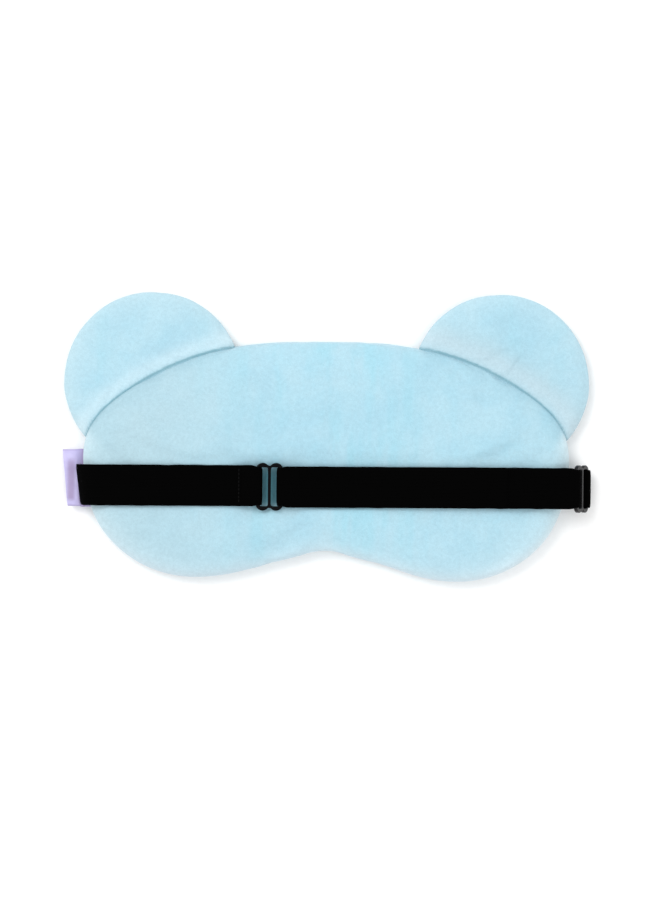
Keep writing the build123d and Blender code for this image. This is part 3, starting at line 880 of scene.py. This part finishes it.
def webbing(name, path, width_at, thickness, material, y_at, waver, seed):
    """A flat woven band along a path of the side view, with rounded selvedges.

    width_at(x) and y_at(x) give the band's width and the place of its middle line."""
    across = 14             # vertices across each face
    bunch = 0.94            # how far they bunch up towards the selvedges
    edge_thick = 0.12       # share of the thickness left at the very edge
    points = even_points(path, STEP)
    vertices, faces, uvs = [], [], []
    length = 0.0
    for index, point in enumerate(points):
        before, after = points[max(index - 1, 0)], points[min(index + 1, len(points) - 1)]
        if index:
            length += (point - points[index - 1]).length
        along = (after - before).normalized()
        up = Vector((-along.y, along.x))
        half = width_at(point.x) / 2
        shift_low = waver * ripple((length, 0, 0), WAVER_SIZE, seed + 1)
        shift_high = waver * ripple((length, 0, 0), WAVER_SIZE, seed + 5)
        for step in range(2 * across):
            side = 1 if step < across else -1
            share = -1 + 2 * (step % across) / (across - 1)
            share = side * sin(share * pi / 2 * bunch) / sin(pi / 2 * bunch)
            edge = shift_high if share > 0 else shift_low
            deep = side * thickness / 2 * sqrt(max(1 - abs(share) ** 7, 0.0))
            if abs(share) > 0.999:
                deep = side * thickness * edge_thick
            y = y_at(point.x) + share * half + edge * abs(share) ** 3
            vertices.append(Vector((point.x + deep * up.x, y, point.y + deep * up.y)))
            uvs.append((length, share * half))
    ring = 2 * across
    for index in range(len(points) - 1):
        for step in range(ring):
            a, b = index * ring + step, index * ring + (step + 1) % ring
            faces.append((a, b, b + ring, a + ring))
    faces.append(tuple(reversed(range(ring))))
    faces.append(tuple((len(points) - 1) * ring + step for step in range(ring)))
    piece = make_piece(name, vertices, faces, material)
    layer = piece.data.uv_layers.new(name="cloth")
    layer.data.foreach_set("uv", [value for loop in piece.data.loops for value in uvs[loop.vertex_index]])
    return piece


def tangent_turn(start, centre, radius, side):
    """Angle round a circle where a line from start touches it; side is 1 above, -1 below."""
    run, rise = start[0] - centre[0], start[1] - centre[1]
    return degrees(atan2(rise, run) - side * acos(radius / hypot(run, rise)))


# In the side view: the two sliders' bars, and the levels at which the bands lie.
pivot = Vector(next(joint for joint in frame["record"]["behaviour"]["joints"]
                    if joint["name"] == "side_swivel")["pos_m"])
side_middle = (side_low + side_high) / 2
strap_bar = (2 * side_middle.x - pivot.x, 2 * side_middle.z - pivot.z)
left_bar = (slider_low.x + wire / 2, (slider_low.z + slider_high.z) / 2)
right_bar = (slider_high.x - wire / 2, left_bar[1])
band = node_size("strap_left_band").z
strap_width = node_size("strap_left_band").y
loop_width = node_size("strap_left_fold").y + LOOP_EASE
lower_z = node_middle("strap_left_band").z
upper_z = node_middle("strap_upper_band").z
under_z = node_middle("strap_lower_band").z
over_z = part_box("strap_left_fold")[1].z - band / 2
wrap = over_z - left_bar[1]
left_fold_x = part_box("strap_left_fold")[0].x
right_fold_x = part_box("strap_right_fold")[1].x
leg_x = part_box("strap_side_fold")[0].x + SIDE_LEG
tail_x = anchor_low.x + band / 2
tail_z = anchor_low.z + band / 2
shoulder_x = anchor_high.x - LEVEL_RUN


def strap_width_at(x):
    """The elastic's width, drawn in where it passes through a slider."""
    away = max(left_bar[0] - x, min(x - right_bar[0], strap_bar[0] - x), 0.0)
    return loop_width + (strap_width - loop_width) * smooth_step(away / PINCH)


# The left end: out of the seam, round the rim, along the mask and over the slider's left bar.
quarter = [radians(90 * step / QUARTER_STEPS) for step in range(1, QUARTER_STEPS + 1)]
left_path = ([(anchor_high.x - SEWN_IN, tail_z), (tail_x + TURN, tail_z)]
             + arc((tail_x + TURN, tail_z + TURN), TURN, -90, -90, 5)
             + [(shoulder_x + (tail_x - shoulder_x) * cos(angle),
                 tail_z + TURN + (lower_z - tail_z - TURN) * sin(angle)) for angle in quarter]
             + [(left_fold_x, lower_z), (left_fold_x + LEVEL_RUN, lower_z)]
             + climb((left_fold_x + LEVEL_RUN, lower_z), (left_bar[0] - LEVEL_RUN, over_z))
             + arc(left_bar, wrap, 90, -180)
             + [(left_bar[0] - HEM, left_bar[1] - wrap)])
strap_left = webbing("strap_left", left_path, strap_width_at, band, elastic,
                     lambda x: strap_y + LEFT_LIFT + STRAP_SKEW * x, STRAP_WAVER, seed=2.0)
for vertex in strap_left.data.vertices:
    leaning = smooth_step((shoulder_x - vertex.co.x) / END_RUN)
    vertex.co.x += leaning * (END_SLANT * (strap_y + strap_width / 2 - vertex.co.y) - END_OUT)
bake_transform(strap_left)
finish_piece(strap_left, "elastic", None, "strap_anchor", "strap_left_band", "strap_left_fold")

# The doubled band from the slider's right bar to where the second length takes over.
right_path = ([(PART_X, upper_z), (right_fold_x, upper_z), (right_fold_x - LEVEL_RUN, upper_z)]
              + climb((right_fold_x - LEVEL_RUN, upper_z), (right_bar[0] + LEVEL_RUN, over_z))
              + arc(right_bar, wrap, 90, 180)
              + [(PART_X, under_z)])
strap_right = webbing("strap_right", right_path, strap_width_at, band, elastic,
                      lambda x: strap_y + STRAP_SKEW * x, STRAP_WAVER, seed=4.0)
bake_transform(strap_right)
finish_piece(strap_right, "elastic", None, "strap_right_fold", "strap_upper_band", "strap_lower_band")

# Its last length, which loops round the side slider's upper bar.
upper_turn = tangent_turn((leg_x, upper_z), strap_bar, wrap, 1)
lower_turn = tangent_turn((leg_x, under_z), strap_bar, wrap, -1)
side_path = ([(PART_X, upper_z), (leg_x, upper_z)]
             + arc(strap_bar, wrap, upper_turn, (lower_turn - upper_turn) % -360)
             + [(leg_x, under_z), (PART_X, under_z)])
strap_side = webbing("strap_side", side_path, strap_width_at, band, elastic,
                     lambda x: strap_y + STRAP_SKEW * PART_X, STRAP_WAVER, seed=6.0)
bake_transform(strap_side)
finish_piece(strap_side, "elastic", None, "strap_side_fold")

# The stitches that hold the hem, on top of the band beside the slider.
tack_x = node_middle("hem_tack").x
tack_z = max(vertex.co.z for vertex in strap_left.data.vertices if abs(vertex.co.x - tack_x) < STEP)
tack_points = [Vector((tack_x, strap_y + LEFT_LIFT
                       + (index / HEM_STITCHES - 0.5) * HEM_STITCH_SHARE * loop_width, tack_z))
               for index in range(HEM_STITCHES + 1)]
finish_piece(stitch_row("hem_stitches", tack_points, HEM_STITCH_LENGTH, STITCH_RADIUS, black_thread),
             "black_thread", "slider_unit", "hem_tack")

# ---- The tape that holds the side slider ----

tape_wrap = (tab_high.z - tab_low.z - TAPE) / 2
leg_end = pivot.x - TAPE_PART
tape_path = ([(tab_low.x, seam_z + TAPE_LEG), (leg_end, seam_z + TAPE_LEG)]
             + climb((leg_end, seam_z + TAPE_LEG), (pivot.x - TAPE_MEET, pivot.z + tape_wrap), 8)
             + arc((pivot.x, pivot.z), tape_wrap, 90, -180)
             + climb((pivot.x, pivot.z - tape_wrap), (leg_end, seam_z - TAPE_LEG), 8)
             + [(tab_low.x, seam_z - TAPE_LEG)])
side_tape = webbing("side_tape", tape_path, lambda x: loop_width, TAPE, tape,
                    lambda x: strap_y, TAPE_WAVER, seed=9.0)
finish_piece(side_tape, "tab_tape", "mask", "side_tab")

# ---- The side label ----

label_length = label_high.y - label_low.y
label_y = (label_low.y + label_high.y) / 2 - LABEL_DROP
label_mid = (label_low.z + label_high.z) / 2
label_out = label_low.x + LABEL_GAP + LABEL_THICK / 2
label_path = ([(label_high.x, label_mid + LABEL_GAP), (label_out, label_mid + LABEL_GAP)]
              + arc((label_out, label_mid), LABEL_GAP, 90, 180, 8)
              + [(label_high.x, label_mid - LABEL_GAP)])
side_ribbon = webbing("side_ribbon", even_points(label_path, LABEL_STEP), lambda x: label_length,
                      LABEL_THICK, label_satin, lambda x: label_y, LABEL_WAVER, seed=12.0)
for vertex in side_ribbon.data.vertices:
    free = smooth_step(max(rim_left - vertex.co.x, 0.0) / LABEL_FREE)
    down = (label_high.y - vertex.co.y) / label_length
    vertex.co.x += free * LABEL_SLANT * down * label_length
    vertex.co.y += free * LABEL_FLARE * (down - 0.5)
    vertex.co.z += free * (LABEL_RISE + LABEL_WAVE * sin(LABEL_WAVES * down))


def label_band(point):
    """One plain soft stripe beside the strap, and the shade where the label enters the seam."""
    stripe = bell(point.x - rim_left + STRIPE_OUT, STRIPE_HALF, power=4)
    stripe *= smooth_step((label_high.y - STRIPE_ABOVE - point.y) / MM)
    stripe *= smooth_step((point.y - label_low.y - STRIPE_BELOW) / MM)
    shade = exp((point.x - rim_left) / LABEL_SHADE) if point.x < rim_left + MM else 0.0
    return BAND_STRENGTH * max(stripe, shade)


paint(side_ribbon, "band", label_band)
finish_piece(side_ribbon, "label", "mask", "side_label")

# ---- The sliders keep their own shape ----

for node, metal in (("slider", black_metal), ("side_slider", glinting_metal)):
    mesh = frame["nodes"][node].data
    mesh.materials.clear()
    mesh.materials.append(metal)

# ---- Floor, light and camera ----

FLOOR_HALF = 2.0            # half the side of the floor
SKY_STRENGTH = 0.88         # even white light from all round
CAMERA_MIDDLE = Vector((1.7 * MM, -5.3 * MM, 0))
CAMERA_ROLL = radians(0.45)
FRAME_HEIGHT = 0.3971       # what the picture's height takes in at the mask
LENS, SENSOR = 100.0, 36.0

corners = ((-1, -1), (1, -1), (1, 1), (-1, 1))
floor = make_piece("floor", [(FLOOR_HALF * x, FLOOR_HALF * y, 0) for x, y in corners], [(0, 1, 2, 3)],
                   floor_material())

scene = bpy.context.scene
scene.view_settings.view_transform = "Standard"
world = bpy.data.worlds.new("studio")
world.use_nodes = True
background = world.node_tree.nodes["Background"]
background.inputs["Color"].default_value = (1.0, 1.0, 1.0, 1)
background.inputs["Strength"].default_value = SKY_STRENGTH
scene.world = world


def add_softbox(name, place, size, power):
    """A large square light that faces the mask."""
    light = bpy.data.lights.new(name, "AREA")
    light.shape = "SQUARE"
    light.size = size
    light.energy = power
    lamp = bpy.data.objects.new(name, light)
    lamp.location = place
    lamp.rotation_euler = (-Vector(place)).to_track_quat("-Z", "Y").to_euler()
    scene.collection.objects.link(lamp)


add_softbox("key", place=(-0.75, 0.70, 1.30), size=0.9, power=12.0)
add_softbox("fill", place=(0.9, -0.35, 1.5), size=1.0, power=5.5)

camera_data = bpy.data.cameras.new("camera")
camera_data.lens = LENS
camera_data.sensor_width = SENSOR
camera = bpy.data.objects.new("camera", camera_data)
camera.location = CAMERA_MIDDLE + Vector((0, 0, pad_top / 2 + FRAME_HEIGHT * LENS / SENSOR))
camera.rotation_euler = (0, 0, CAMERA_ROLL)
scene.collection.objects.link(camera)
scene.camera = camera
